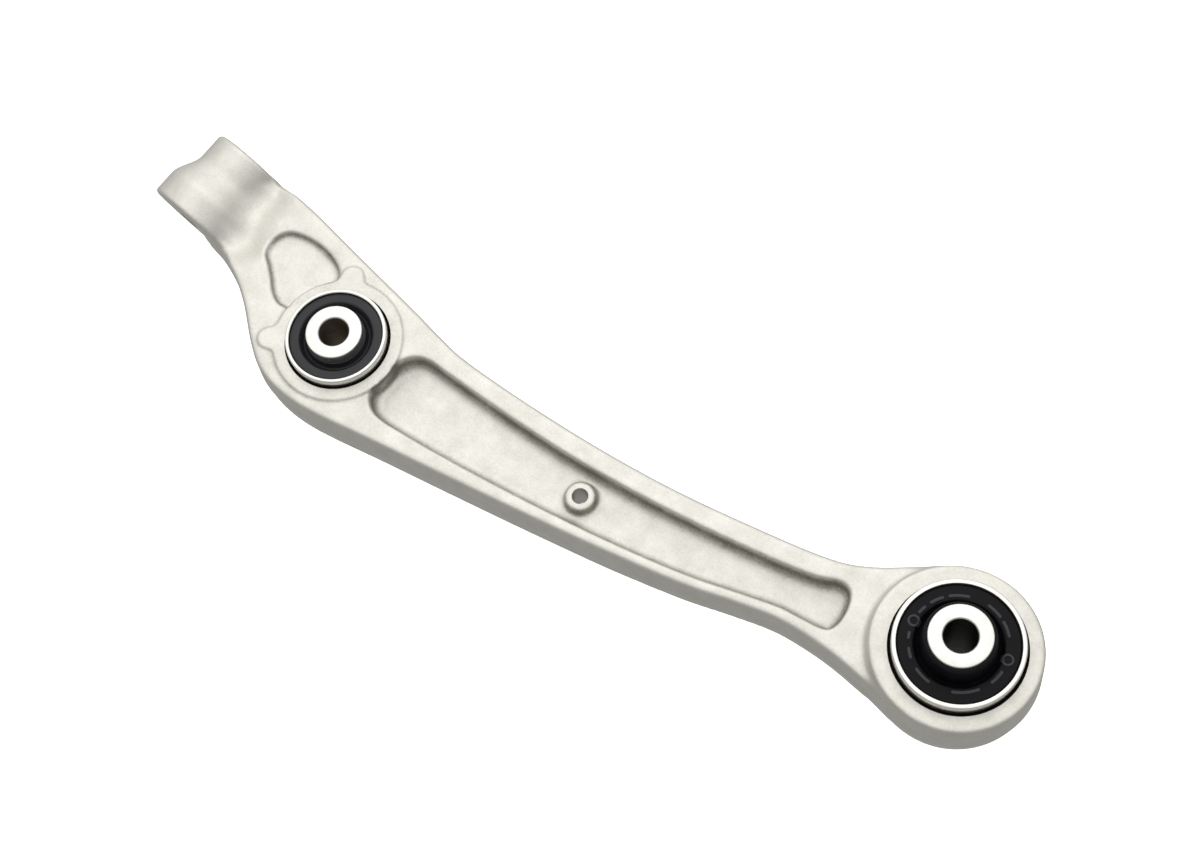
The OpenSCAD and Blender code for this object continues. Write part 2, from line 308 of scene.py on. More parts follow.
# %% The whole forging before machining
def forging(x, y, z, plan_distances):
    """Less than zero inside the metal. Plate, minus pockets and dips, plus boss, hub and both
    eyes. Behind the mid plane, height is z stretched so that the rising back of the beam ends
    at rail_half as the front does. A dip is a slice of a ball: a slice of radius r and depth d
    has a ball of radius (r^2 + d^2) / 2d."""
    beam, long_pocket, small_pocket, hub = plan_distances
    share = np.clip((x - thin_until) / (thick_from - thin_until), 0, 1)
    back = thin_back + (rail_half - thin_back) * share * share * (3 - 2 * share)
    height = np.where(z > 0, z, -z * rail_half / back)
    flank = beam - flank_draft * (1 - height / rail_half)
    solid = round_overlap(flank, height - rail_half, rail_edge_r)
    for rim, floor, foot_r in [
        (long_pocket, long_floor, long_foot_r),
        (small_pocket, small_floor, small_foot_r),
    ]:
        wall = rim + wall_lean * (rail_half - height) / (rail_half - floor)
        hollow = round_overlap(wall, floor - height, foot_r)
        solid = round_overlap(solid, -hollow, pocket_lip_r)
    ball = (dip_r ** 2 + dip_depth ** 2) / (2 * dip_depth)
    for centre_x, centre_y in dips:
        dip = np.sqrt((x - centre_x) ** 2 + (y - centre_y) ** 2
                      + (height - rail_half + dip_depth - ball) ** 2) - ball
        solid = round_overlap(solid, -dip, dip_lip_r)
    taper_in = (boss_foot_r - boss_face_r) * (height - long_floor) / boss_rise
    boss_side = ring_distance(x, y, sensor, 0) - boss_foot_r + taper_in
    boss = round_overlap(boss_side, height - boss_half, boss_edge_r)
    solid = fillet_join(solid, boss, boss_fillet_r)
    pad = round_overlap(hub - hub_draft * (hub_half - height), height - hub_half, hub_edge_r)
    solid = fillet_join(solid, pad, hub_fillet_r)
    drawn_x = np.where(x > 0, x * eye_draw, x)
    drum = ring_distance(drawn_x, y, (0, eye_shift), eye_r)
    drum = drum + np.where(z > 0, eye_front_draft * z, -eye_back_draft * z)
    drum = round_overlap(drum, np.maximum(z - eye_front, -eye_back - z), eye_edge_r)
    solid = fillet_join(solid, drum, eye_fillet_r)
    neck = neck_side_r + (neck_fillet_r - neck_side_r) * np.clip(-beam / neck_run, 0, 1)
    return fillet_join(solid, knuckle_eye(x, y, z), neck)


# %% [markdown]
# ## From the formula to a skin
# The formula is sampled on a grid of small cubes. Every cube with metal at some corners and air
# at others gets one point, at the middle of the places where its edges leave the metal, and the
# four cubes round each such edge make one face. The points are then pushed along the slope of
# the formula until they lie on the surface. The result is an even mesh of four-sided faces.

# %% Skin of a sampled solid
def skin(value, low, step):
    """Points and four-sided faces round the region where value is below zero. A cube's edge
    from value a to value b leaves the metal at a / (a - b) of its length."""
    inside = value < 0
    corners = [(i, j, k) for i in (0, 1) for j in (0, 1) for k in (0, 1)]
    count = sum(inside[i:value.shape[0] - 1 + i, j:value.shape[1] - 1 + j,
                       k:value.shape[2] - 1 + k].astype(np.int8) for i, j, k in corners)
    mixed = (count > 0) & (count < 8)
    cube = np.argwhere(mixed)
    at = np.stack([value[tuple((cube + c).T)] for c in corners], axis=1)
    total, hits = np.zeros((len(cube), 3)), np.zeros(len(cube))
    for a, ca in enumerate(corners):
        for b, cb in enumerate(corners):
            if b > a and sum(abs(p - q) for p, q in zip(ca, cb)) == 1:
                leaves = (at[:, a] < 0) != (at[:, b] < 0)
                part = np.where(leaves, at[:, a] / np.where(leaves, at[:, a] - at[:, b], 1), 0)
                place = np.array(ca) + part[:, None] * (np.array(cb) - np.array(ca))
                total += np.where(leaves[:, None], place, 0)
                hits += leaves
    points = low + step * (cube + total / hits[:, None])
    number = np.full(mixed.shape, -1)
    number[mixed] = np.arange(len(cube))
    faces = []
    for axis in range(3):
        u, v = (axis + 1) % 3, (axis + 2) % 3
        ahead = np.eye(3, dtype=int)
        first = inside[tuple(slice(0, -1) if i == axis else slice(1, -1) for i in range(3))]
        second = inside[tuple(slice(1, None) if i == axis else slice(1, -1) for i in range(3))]
        edge = np.argwhere(first != second) + ahead[u] + ahead[v]
        ring = [edge - ahead[u] - ahead[v], edge - ahead[v], edge, edge - ahead[u]]
        quad = np.stack([number[tuple(r.T)] for r in ring], axis=1)
        leaving = inside[tuple(edge.T)]
        faces.append(np.where(leaving[:, None], quad, quad[:, ::-1]))
    return points, np.concatenate(faces)


def settle(points, formula, step, rounds=3):
    """Moves points along the slope of the formula by value / slope, which lands them on zero."""
    slope = np.empty_like(points)
    for axis in range(3):
        shift = np.zeros(3)
        shift[axis] = step
        slope[:, axis] = (formula(points + shift) - formula(points - shift)) / (2 * step)
    steep = (slope ** 2).sum(axis=1, keepdims=True) + 1e-9
    for _ in range(rounds):
        points = points - slope * (formula(points)[:, None] / steep)
    return points


# %% Sample the forging and skin it
cube_size = 0.92
grid_margin, slope_step = 3, 0.15
low_corner, high_corner = node_span("arm_forging") + np.array([[-grid_margin], [grid_margin]])
axes = [np.arange(low_corner[i], high_corner[i], cube_size) for i in range(3)]
gx, gy = np.meshgrid(axes[0], axes[1], indexing="ij")
layers = [layer[:, :, None] for layer in plan(gx, gy)]
samples = forging(gx[:, :, None], gy[:, :, None], axes[2][None, None, :], layers)
skin_points, skin_faces = skin(samples, np.array([a[0] for a in axes]), cube_size)
skin_points = settle(
    skin_points,
    lambda p: forging(p[:, 0], p[:, 1], p[:, 2], plan(p[:, 0], p[:, 1])),
    slope_step,
)
print("forging skin:", len(skin_points), "points")
forging_body = mesh_piece("forging_before_machining", skin_points, skin_faces.tolist())

# %% [markdown]
# ## Turned and moulded rings
# Sleeves, rubbers, bores and tapers are all bodies of revolution. Each one is a closed profile
# of radius and height, carried round the axis. Real edges are never knife sharp, so every
# corner of a profile is given a small radius, which also catches the light.

# %% Profiles with rounded corners
NEARLY_STRAIGHT = 1.55


def rounded(corners, steps=5):
    """Replaces each corner (radius, height, fillet) by an arc that touches both sides. The arc
    starts at fillet / tan(half the corner angle) from the corner. A corner stays a point when
    it has no fillet, or when half its angle, in radians, is close to a right angle."""
    points = np.array([c[:2] for c in corners], dtype=float)
    pieces = []
    for i, (r, z, fillet) in enumerate(corners):
        here = points[i]
        back, ahead = points[i - 1] - here, points[(i + 1) % len(points)] - here
        back, ahead = back / np.hypot(*back), ahead / np.hypot(*ahead)
        half = math.acos(np.clip(back @ ahead, -1, 1)) / 2
        if fillet == 0 or half > NEARLY_STRAIGHT:
            pieces.append(here[None])
            continue
        middle = here + (back + ahead) / np.hypot(*(back + ahead)) * fillet / math.sin(half)
        start, end = here + back * fillet / math.tan(half), here + ahead * fillet / math.tan(half)
        a0 = math.atan2(*(start - middle)[::-1])
        turn = (math.atan2(*(end - middle)[::-1]) - a0 + math.pi) % (2 * math.pi) - math.pi
        a = a0 + turn * np.linspace(0, 1, steps)
        pieces.append(middle + fillet * np.stack([np.cos(a), np.sin(a)], axis=1))
    return np.concatenate(pieces)


# %% Carry a profile round an axis
def revolve(profile, centre, axis=(0, 0, 1), segments=192, solid=False):
    """Point (r, h) of the profile at angle t goes to centre + r (cos t, sin t) across the axis
    + h along it. A solid's profile is open and its two ends are closed by flat caps."""
    axis = np.array(axis, dtype=float)
    upright = abs(axis[2]) == 1
    across = np.array([1.0, 0, 0]) if upright else np.cross((0, 0, 1.0), axis)
    across = across / np.linalg.norm(across)
    side = np.cross(axis, across)
    t = np.linspace(0, 2 * math.pi, segments, endpoint=False)[None, :, None]
    r, h = profile[:, 0][:, None, None], profile[:, 1][:, None, None]
    points = np.array(centre) + r * (np.cos(t) * across + np.sin(t) * side) + h * axis
    n = len(profile)
    i, j = np.meshgrid(np.arange(n - solid), np.arange(segments), indexing="ij")
    i2, j2 = (i + 1) % n, (j + 1) % segments
    quads = np.stack([i * segments + j, i * segments + j2, i2 * segments + j2, i2 * segments + j])
    faces = quads.reshape(4, -1).T.tolist()
    if solid:
        ring = np.arange(segments)
        faces += [ring[::-1].tolist(), (ring + (n - 1) * segments).tolist()]
    return points.reshape(-1, 3), faces


# %% [markdown]
# ## Machining
# After forging, the bush bores are bored and given a lead-in so that the sleeves start straight,
# the sensor hole is drilled and the knuckle taper is reamed. The cuts are made as on the real
# arm, by taking turned shapes away from the forging. A Boolean keeps their edges crisp, which a
# mesh of even cubes could not, and the cut faces keep a material slot of their own, because a
# tool leaves another surface than blasting does.

# %% Shapes of the tools
TOOL_OVER = 6.0


def bore_tool(centre, radius, front, back, lead_w, lead_depth):
    """A bore right through, wider by lead_w down to lead_depth at both faces."""
    mouth = radius + lead_w
    upper = [(radius, front - lead_depth), (mouth, front - lead_depth + lead_w)]
    upper += [(mouth, front + TOOL_OVER)]
    lower = [(r, back + front - z) for r, z in reversed(upper)]
    return revolve(np.array(lower + upper), (centre[0], centre[1], 0), segments=160, solid=True)


chassis_low, chassis_high = node_span("chassis_outer_sleeve")
damper_low, damper_high = node_span("damper_outer_sleeve")
chassis_outer_r = (chassis_high[0] - chassis_low[0]) / 2
damper_outer_r = (damper_high[0] - damper_low[0]) / 2
sensor_r = mounts["sensor_hole"]["dims"]["r_mm"]
taper_slim_r, taper_wide_r = 7.6, 9.45
slope = (taper_wide_r - taper_slim_r) / eye_len
reach = eye_len / 2 + TOOL_OVER
reamer = np.array([
    (taper_slim_r - slope * TOOL_OVER, -reach),
    (taper_wide_r + slope * TOOL_OVER, reach),
])
tools = [
    bore_tool(chassis, chassis_outer_r, eye_front, -eye_back, lead_w=1.25, lead_depth=3.0),
    bore_tool(damper, damper_outer_r, hub_half, -hub_half, lead_w=1.05, lead_depth=3.0),
    bore_tool(sensor, sensor_r, boss_half, -boss_half, lead_w=0.2, lead_depth=0.2),
    revolve(reamer, knuckle, knuckle_axis, segments=128, solid=True),
]
print("chassis bore radius", chassis_outer_r, "damper bore radius", damper_outer_r)

# %% Cut the forging
# Slot 0 of the forging is its blasted skin. These are the other two.
# Slot 2 is painted shade: a dark surface in the gap round each pressed sleeve.
MACHINED, PAINTED_GAP_SHADE = 1, 2


def joined(parts):
    """One set of points and faces from several."""
    points, faces, shift = [], [], 0
    for part_points, part_faces in parts:
        points.append(part_points)
        faces += [[index + shift for index in face] for face in part_faces]
        shift += len(part_points)
    return np.concatenate(points), faces


def cut(body, cutter, name):
    """Body less cutter, as a new piece. Faces left by the cutter keep its material slot."""
    change = body.modifiers.new("machining", "BOOLEAN")
    change.operation = "DIFFERENCE"
    change.solver = "EXACT"
    change.object = cutter
    state = body.evaluated_get(bpy.context.evaluated_depsgraph_get())
    mesh = bpy.data.meshes.new_from_object(state)
    mesh.name = name
    piece = bpy.data.objects.new(name, mesh)
    bpy.context.collection.objects.link(piece)
    for used in (body, cutter):
        bpy.data.objects.remove(used)
    print(name, len(mesh.vertices), "points,", len(mesh.polygons), "faces")
    return piece


def crisp_edges(piece, degrees):
    """Marks an edge sharp if it is between two materials, or if both its faces were cut and
    their normals differ by more than the given angle: a . b < cos(degrees)."""
    mesh = piece.data
    face_of_loop = np.repeat(
        np.arange(len(mesh.polygons)), [p.loop_total for p in mesh.polygons]
    )
    edge_of_loop = np.empty(len(mesh.loops), dtype=np.int32)
    mesh.loops.foreach_get("edge_index", edge_of_loop)
    normals = np.empty(len(mesh.polygons) * 3)
    mesh.polygons.foreach_get("normal", normals)
    normals = normals.reshape(-1, 3)
    slots = np.empty(len(mesh.polygons), dtype=np.int32)
    mesh.polygons.foreach_get("material_index", slots)
    order = np.argsort(edge_of_loop, kind="stable")
    edges, first = np.unique(edge_of_loop[order], return_index=True)
    a, b = face_of_loop[order[first]], face_of_loop[order[first + 1]]
    bend = (normals[a] * normals[b]).sum(axis=1) < math.cos(math.radians(degrees))
    sharp = np.zeros(len(mesh.edges), dtype=bool)
    sharp[edges] = (slots[a] != slots[b]) | (bend & (slots[a] == MACHINED))
    attribute = mesh.attributes.get("sharp_edge") or mesh.attributes.new(
        "sharp_edge", "BOOLEAN", "EDGE"
    )
    attribute.data.foreach_set("value", sharp)
    print(piece.name, int(sharp.sum()), "crisp edges")


tool_points, tool_faces = joined(tools)
cutter = mesh_piece("machining_tools", tool_points, tool_faces)
cutter_slots = np.full(len(cutter.data.polygons), MACHINED, dtype=np.int32)
cutter.data.polygons.foreach_set("material_index", cutter_slots)

# %% [markdown]
# ## Materials
# Five surfaces make up the object: aluminium as it leaves the shot blaster, aluminium as a tool
# leaves it, zinc plated steel turned at its ends, a dark surface painted as the shade in the gap
# round a pressed-in sleeve, and moulded natural rubber. One function adds a node with its settings
# and links, and another turns a hex colour to linear light. Patterns read the coordinates of the
# object, so that they stay on the piece when it moves.

# %% Node and colour helpers
def linear(hex_colour):
    """An sRGB hex value as linear red, green, blue and alpha. A channel c becomes c / 12.92 up
    to 0.04045, and ((c + 0.055) / 1.055)^2.4 above that."""
    srgb = np.array([int(hex_colour[i:i + 2], 16) for i in (1, 3, 5)]) / 255
    light = np.where(srgb <= 0.04045, srgb / 12.92, ((srgb + 0.055) / 1.055) ** 2.4)
    return (*light.tolist(), 1.0)


def grey(level):
    """A plain grey, for a ramp that drives roughness."""
    return (level, level, level, 1.0)


def add_node(tree, kind, inputs=None, stops=(), **settings):
    """A new node: settings are its own properties, inputs are values or sockets to link, and
    stops are the (position, colour) pairs of a ramp."""
    node = tree.nodes.new(kind)
    for name, value in settings.items():
        setattr(node, name, value)
    for name, value in (inputs or {}).items():
        if isinstance(value, bpy.types.NodeSocket):
            tree.links.new(value, node.inputs[name])
        else:
            node.inputs[name].default_value = value
    if stops:
        elements = node.color_ramp.elements
        while len(elements) < len(stops):
            elements.new(0.5)
        for element, (position, colour) in zip(elements, stops):
            element.position, element.color = position, colour
    return node


def new_material(name):
    """An empty material, its node tree, and its object coordinates, which are metres here."""
    material = bpy.data.materials.new(name)
    material.use_nodes = True
    material.node_tree.nodes.clear()
    place = add_node(material.node_tree, "ShaderNodeTexCoord").outputs["Object"]
    return material, material.node_tree, place


def finished(material, inputs):
    """The material with its shader, whose inputs are values or sockets, and its output."""
    shader = add_node(material.node_tree, "ShaderNodeBsdfPrincipled", inputs)
    add_node(material.node_tree, "ShaderNodeOutputMaterial", {"Surface": shader.outputs["BSDF"]})
    return material


# %% [markdown]
# ### Shot blasted aluminium
# Steel shot of about half a millimetre leaves the forging matt and even, with small dimples and
# a faint mottling where the scale came off unevenly. A blasted metal scatters light so widely
# that it looks lighter than it is coloured. The dimples are a bump, because they are too small
# for the mesh, and they are drawn 0.9 mm apart, coarser than real ones, so that they show.

# %% Blasted aluminium
def blasted_aluminium():
    """Matt metal with shot dimples and mottling. Its tone is the mean of both noises, less the
    mesh attribute shade, which is painted shade on the steep pocket walls, at the pocket feet and
    in the step round the hub."""
    material, tree, place = new_material("blasted_aluminium")
    dimple_mm, mottle_mm = 0.9, 9.0
    mottle = add_node(tree, "ShaderNodeTexNoise", {
        "Vector": place, "Scale": 1 / (mottle_mm * MM), "Detail": 5.0, "Roughness": 0.6,
    }).outputs["Fac"]
    grain = add_node(tree, "ShaderNodeTexNoise", {
        "Vector": place, "Scale": 1 / (dimple_mm * MM), "Detail": 3.0, "Roughness": 0.7,
    }).outputs["Fac"]
    both = add_node(tree, "ShaderNodeMath", {0: mottle, 1: grain}, operation="ADD").outputs[0]
    mean = add_node(tree, "ShaderNodeMath", {0: both, 1: 0.5}, operation="MULTIPLY").outputs[0]
    shade = add_node(tree, "ShaderNodeAttribute", attribute_name="shade").outputs["Fac"]
    level = add_node(tree, "ShaderNodeMath", {0: mean, 1: shade}, operation="SUBTRACT").outputs[0]
    colour = add_node(tree, "ShaderNodeValToRGB", {"Fac": level}, [
        (0.0, linear("#8d8b84")), (0.36, linear("#d4d2cb")), (0.5, linear("#dbd9d2")),
        (0.64, linear("#e1dfd9")),
    ]).outputs["Color"]
    roughness = add_node(tree, "ShaderNodeValToRGB", {"Fac": mean}, [
        (0.3, grey(0.60)), (0.7, grey(0.48)),
    ]).outputs["Color"]
    dimples = add_node(tree, "ShaderNodeBump", {
        "Height": grain, "Strength": 0.6, "Distance": 0.15 * MM,
    }).outputs["Normal"]
    return finished(material, {
        "Base Color": colour, "Roughness": roughness, "Metallic": 1.0, "Normal": dimples,
    })


# %% [markdown]
# ### Machined aluminium
# A boring bar leaves fine rings along the bore, so close that they show as a silky streak. They
# are drawn as bands along Z a third of a millimetre apart, which is coarser than the real feed,
# so that they show. At a scale of 1 a wave texture has a band every pi / 10, so its scale is
# pi / 10 over the spacing.

# %% Machined aluminium
def machined_aluminium():
    """Brighter, smoother metal with feed marks along Z every feed_mm."""
    material, tree, place = new_material("machined_aluminium")
    feed_mm = 0.35
    marks = add_node(tree, "ShaderNodeTexWave", {
        "Vector": place, "Scale": math.pi / 10 / (feed_mm * MM), "Distortion": 0.6,
        "Detail": 2.0, "Detail Scale": 2.0,
    }, wave_type="BANDS", bands_direction="Z").outputs["Fac"]
    colour = add_node(tree, "ShaderNodeValToRGB", {"Fac": marks}, [
        (0.0, linear("#b9b8b4")), (1.0, linear("#d2d1cd")),
    ]).outputs["Color"]
    furrows = add_node(tree, "ShaderNodeBump", {
        "Height": marks, "Strength": 0.2, "Distance": 0.02 * MM,
    }).outputs["Normal"]
    return finished(material, {
        "Base Color": colour, "Roughness": 0.34, "Metallic": 1.0, "Normal": furrows,
    })


# %% [markdown]
# ### Zinc plated steel
# The sleeves are cut from drawn tube, faced on a lathe and zinc plated. Facing leaves rings
# round the axis and plating gives a pale, slightly milky metal. Rings that follow the axis need
# a pattern centred on it, so the coordinates are moved to the middle of each bush. The rings are
# 0.5 mm apart, again coarser than real ones.

# %% Turned and plated steel
def plated_steel(name, centre, colours, roughness):
    """Pale metal with turning rings every ring_mm round the axis of one bush, and clouds of the
    plating between the two colours."""
    material, tree, place = new_material(name)
    ring_mm, cloud_mm = 0.5, 4.0
    centred = add_node(tree, "ShaderNodeMapping", {
        "Vector": place, "Location": tuple(-np.array(centre) * MM),
    }).outputs["Vector"]
    rings = add_node(tree, "ShaderNodeTexWave", {
        "Vector": centred, "Scale": math.pi / 10 / (ring_mm * MM), "Distortion": 0.3,
        "Detail": 2.0, "Detail Scale": 3.0,
    }, wave_type="RINGS", rings_direction="Z").outputs["Fac"]
    cloud = add_node(tree, "ShaderNodeTexNoise", {
        "Vector": place, "Scale": 1 / (cloud_mm * MM), "Detail": 4.0, "Roughness": 0.6,
    }).outputs["Fac"]
    tone = add_node(tree, "ShaderNodeValToRGB", {"Fac": cloud}, [
        (0.3, linear(colours[0])), (0.7, linear(colours[1])),
    ]).outputs["Color"]
    dullness = add_node(tree, "ShaderNodeValToRGB", {"Fac": cloud}, [
        (0.3, grey(roughness + 0.05)), (0.7, grey(roughness)),
    ]).outputs["Color"]
    furrows = add_node(tree, "ShaderNodeBump", {
        "Height": rings, "Strength": 0.25, "Distance": 0.02 * MM,
    }).outputs["Normal"]
    return finished(material, {
        "Base Color": tone, "Roughness": dullness, "Metallic": 1.0, "Normal": furrows,
    })


# %% [markdown]
# ### Painted shade in the gap round a pressed sleeve
# The narrow lead-in between sleeve and forging lies in shade, and this material paints that shade
# as a dark surface with little shine. Bare metal would mirror the white tent from the bottom of
# the gap.

# %% Painted shade for the press gap
def painted_gap_shade_material():
    """Painted shade for the gap round a pressed sleeve: a dark, dull surface in clouds 3 mm
    across.
    """
    material, tree, place = new_material("oiled_press_gap")
    shade_cloud_mm = 3.0
    shade_cloud = add_node(tree, "ShaderNodeTexNoise", {
        "Vector": place, "Scale": 1 / (shade_cloud_mm * MM), "Detail": 4.0,
    }).outputs["Fac"]
    colour = add_node(tree, "ShaderNodeValToRGB", {"Fac": shade_cloud}, [
        (0.35, linear("#1c1b19")), (0.65, linear("#2c2a27")),
    ]).outputs["Color"]
    return finished(material, {
        "Base Color": colour, "Roughness": 0.6, "Specular IOR Level": 0.3,
    })


# %% [markdown]
# ### Moulded natural rubber
# Bush rubber is black with soot and has the satin skin of its mould, with a grey bloom of wax
# in places. A low specular level and a middling roughness give its soft sheen. The tops of the
# moulding marks are rubbed a little paler, by an attribute that the mesh carries.

# %% Bush rubber
def bush_rubber(name, colours, sheen):
    """Black satin rubber. Its three colours are for clean rubber, for bloom and for the rubbed
    tops of the marks, which the mesh attribute mark raises the tone to."""
    material, tree, place = new_material(name)
    bloom_mm, grain_mm = 6.0, 0.4
    bloom = add_node(tree, "ShaderNodeTexNoise", {
        "Vector": place, "Scale": 1 / (bloom_mm * MM), "Detail": 5.0, "Roughness": 0.65,
    }).outputs["Fac"]
    grain = add_node(tree, "ShaderNodeTexNoise", {
        "Vector": place, "Scale": 1 / (grain_mm * MM), "Detail": 2.0,
    }).outputs["Fac"]
    mark = add_node(tree, "ShaderNodeAttribute", attribute_name="mark").outputs["Fac"]
    level = add_node(tree, "ShaderNodeMath", {0: bloom, 1: mark}, operation="ADD").outputs[0]
    colour = add_node(tree, "ShaderNodeValToRGB", {"Fac": level}, [
        (0.35, linear(colours[0])), (0.75, linear(colours[1])), (1.0, linear(colours[2])),
    ]).outputs["Color"]
    roughness = add_node(tree, "ShaderNodeValToRGB", {"Fac": bloom}, [
        (0.3, grey(0.42)), (0.7, grey(0.56)),
    ]).outputs["Color"]
    skin_grain = add_node(tree, "ShaderNodeBump", {
        "Height": grain, "Strength": 0.25, "Distance": 0.03 * MM,
    }).outputs["Normal"]
    return finished(material, {
        "Base Color": colour, "Roughness": roughness, "IOR": 1.5, "Specular IOR Level": sheen,
        "Normal": skin_grain,
    })


blasted = blasted_aluminium()
machined = machined_aluminium()
gap_shade = painted_gap_shade_material()
print("materials:", [m.name for m in bpy.data.materials])

# %% [markdown]
# ## Finish the forging
# The blasted skin, the machined cuts and the painted shade of the gaps are three slots of one
# mesh, so the piece stays one solid as the real arm is one forging. A number kept at every point,
# shade, is painted shade: it makes the blasted metal darker on the steep walls of the pockets, at
# their feet, and in the narrow step round the hub.

# %% The machined forging
for uncut in (forging_body, cutter):
    uncut.data.materials.append(blasted)
    uncut.data.materials.append(machined)
arm = cut(forging_body, cutter, "machined_forging")
crisp_edges(arm, 25)
arm.data.materials.append(gap_shade)


def face_centres(mesh):
    """The middle of every face, in millimetres."""
    centres = np.empty(len(mesh.polygons) * 3)
    mesh.polygons.foreach_get("center", centres)
    return centres.reshape(-1, 3) / MM


# The machined lead-in faces round both bush bores get the painted gap shade.
GAP_FROM, GAP_TO = 0.05, 1.4
slots = np.empty(len(arm.data.polygons), dtype=np.int32)
arm.data.polygons.foreach_get("material_index", slots)
middles = face_centres(arm.data)
for place, bore_r in ((chassis, chassis_outer_r), (damper, damper_outer_r)):
    gap = ring_distance(middles[:, 0], middles[:, 1], place, bore_r)
    slots[(slots == MACHINED) & (gap > GAP_FROM) & (gap < GAP_TO)] = PAINTED_GAP_SHADE
arm.data.polygons.foreach_set("material_index", slots)
print("faces blasted, machined and oiled:", np.bincount(slots).tolist())

# %% Painted shade in the pocket corners and the step round the hub
# Painted shade: how much the shade attribute darkens steep pocket walls, pocket feet and the step
# round the hub.
WALL_SHADE, FOOT_SHADE, FOOT_FADE = 0.38, 0.18, 1.6
STEP_SHADE, STEP_AT, STEP_WIDTH = 0.16, 0.3, 0.6
points = np.empty(len(arm.data.vertices) * 3)
arm.data.vertices.foreach_get("co", points)
upright = np.empty_like(points)
arm.data.vertex_normals.foreach_get("vector", upright)
points, steep = points.reshape(-1, 3) / MM, 1 - upright.reshape(-1, 3)[:, 2] ** 2
_, to_long, to_small, to_hub = plan(points[:, 0], points[:, 1])
depth = -np.minimum(to_long, to_small)
in_pocket = np.clip(depth / 0.5, 0, 1)
corner = in_pocket * (WALL_SHADE * steep + FOOT_SHADE * np.exp(-depth / FOOT_FADE))
painted_step_shade = STEP_SHADE * np.exp(-((to_hub - STEP_AT) / STEP_WIDTH) ** 2)
painted_step_shade = painted_step_shade * (np.abs(points[:, 2]) > rail_half - 1)
shade = arm.data.attributes.new("shade", "FLOAT", "POINT")
shade.data.foreach_set("value", corner + painted_step_shade)
print("shade reaches", round(float((corner + painted_step_shade).max()), 2))
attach(arm, "arm")
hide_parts("arm_forging")

# %% [markdown]
# ## The sleeves
# Each bush has an outer sleeve pressed into the forging and a thick inner sleeve that the bolt
# clamps. The inner sleeve is faced square and chamfered at the bore, so that the bolt enters.
# Length, place and outer radius come from the CAD solid, the wall from the design. The bores
# of the inner sleeves are coloured dark: nearly black in the chassis bush, brownish grey in the
# damper bush.

# %% Sleeves
walls = {"chassis": 2.0, "damper": 1.6}
SKIN = 0.05


def sleeve(node, body, wall, outer_edge, bore_edge, material, dark, seat):
    """A tube with a rounded outer edge and a chamfered bore at both ends. The bore, and the
    stretch of the outside that sits within seat, low and high, have the dark material. A face
    is of the outside if its middle is within SKIN of it."""
    low, high = node_span(node)
    outer = (high[0] - low[0]) / 2
    inner = outer - wall
    centre = ((low[0] + high[0]) / 2, (low[1] + high[1]) / 2, 0)
    lead = 0.15
    corners = [
        (outer, low[2], outer_edge), (outer, seat[0], 0), (outer, seat[1], 0),
        (outer, high[2], outer_edge),
        (inner + bore_edge, high[2], lead), (inner, high[2] - bore_edge, lead),
        (inner, low[2] + bore_edge, lead), (inner + bore_edge, low[2], lead),
    ]
    points, faces = revolve(rounded(corners), centre, segments=160)
    piece = mesh_piece("turned_" + node, points, faces)
    piece.data.set_sharp_from_angle(angle=math.radians(50))
    stand_in(piece, node, body, material)
    piece.data.materials.append(dark)
    x, y, z = (face_centres(piece.data) - centre).T
    out = np.hypot(x, y)
    seated = (out > outer - SKIN) & (z > seat[0]) & (z < seat[1])
    in_bore = out < inner + bore_edge * 0.4
    piece.data.polygons.foreach_set("material_index", (seated | in_bore).astype(np.int32))


drawn_tube = ("#dfded9", "#ecebe7")
turned_end = ("#d9d8d4", "#e9e8e5")
bore_tones = {"chassis": ("#35322e", "#45413c"), "damper": ("#857a6a", "#9a8e7c")}
seats = {"chassis": (-eye_back + 0.3, eye_front - 0.3), "damper": (0.3 - hub_half, hub_half - 0.3)}
for place, label in ((chassis, "chassis"), (damper, "damper")):
    outer_metal = plated_steel("plated_tube_" + label, place, drawn_tube, 0.28)
    inner_metal = plated_steel("plated_turned_" + label, place, turned_end, 0.36)
    bore_metal = plated_steel("oxidised_bore_" + label, place, bore_tones[label], 0.5)
    inner_low, inner_high = node_span(label + "_inner_sleeve")
    bolt_r = mounts[label + "_bore"]["dims"]["r_mm"]
    inner_wall = (inner_high[0] - inner_low[0]) / 2 - bolt_r
    # The outside of the outer sleeve, where it sits in the forging, gets the painted gap shade.
    sleeve(label + "_outer_sleeve", "arm", walls[label],
           outer_edge=0.6, bore_edge=0.35, material=outer_metal, dark=gap_shade, seat=seats[label])
    sleeve(label + "_inner_sleeve", label + "_sleeve", inner_wall,
           outer_edge=0.5, bore_edge=0.45, material=inner_metal, dark=bore_metal, seat=(0, 0))

# %% [markdown]
# ## The rubbers
# The rubber is moulded between its sleeves. Its end is a flat land at the outer sleeve, then a
# groove that lets it flex, then a thin collar climbing the inner sleeve. The chassis rubber
# carries raised moulding marks: plain bars on a circle and two small rings. They are part of
# the surface, so the end face is a function of radius and angle and the marks are added to its
# height.

# %% Raised marks of the mould
MARK_R, BAR_HALF_W, MARK_HEIGHT, MARK_SLOPE = 18.2, 0.42, 0.4, 0.3
bars = [(160, 179), (113, 145), (64, 86), (38, 51), (19, 28), (-17, -6), (-41, -24), (-71, -47),
        (-114, -94), (-139, -119)]
ring_marks, RING_MID_R, RING_HALF_W = (5.0, 194.0), 1.9, 0.28
print(len(bars), "bars and", len(ring_marks), "rings, raised by", MARK_HEIGHT, "mm")


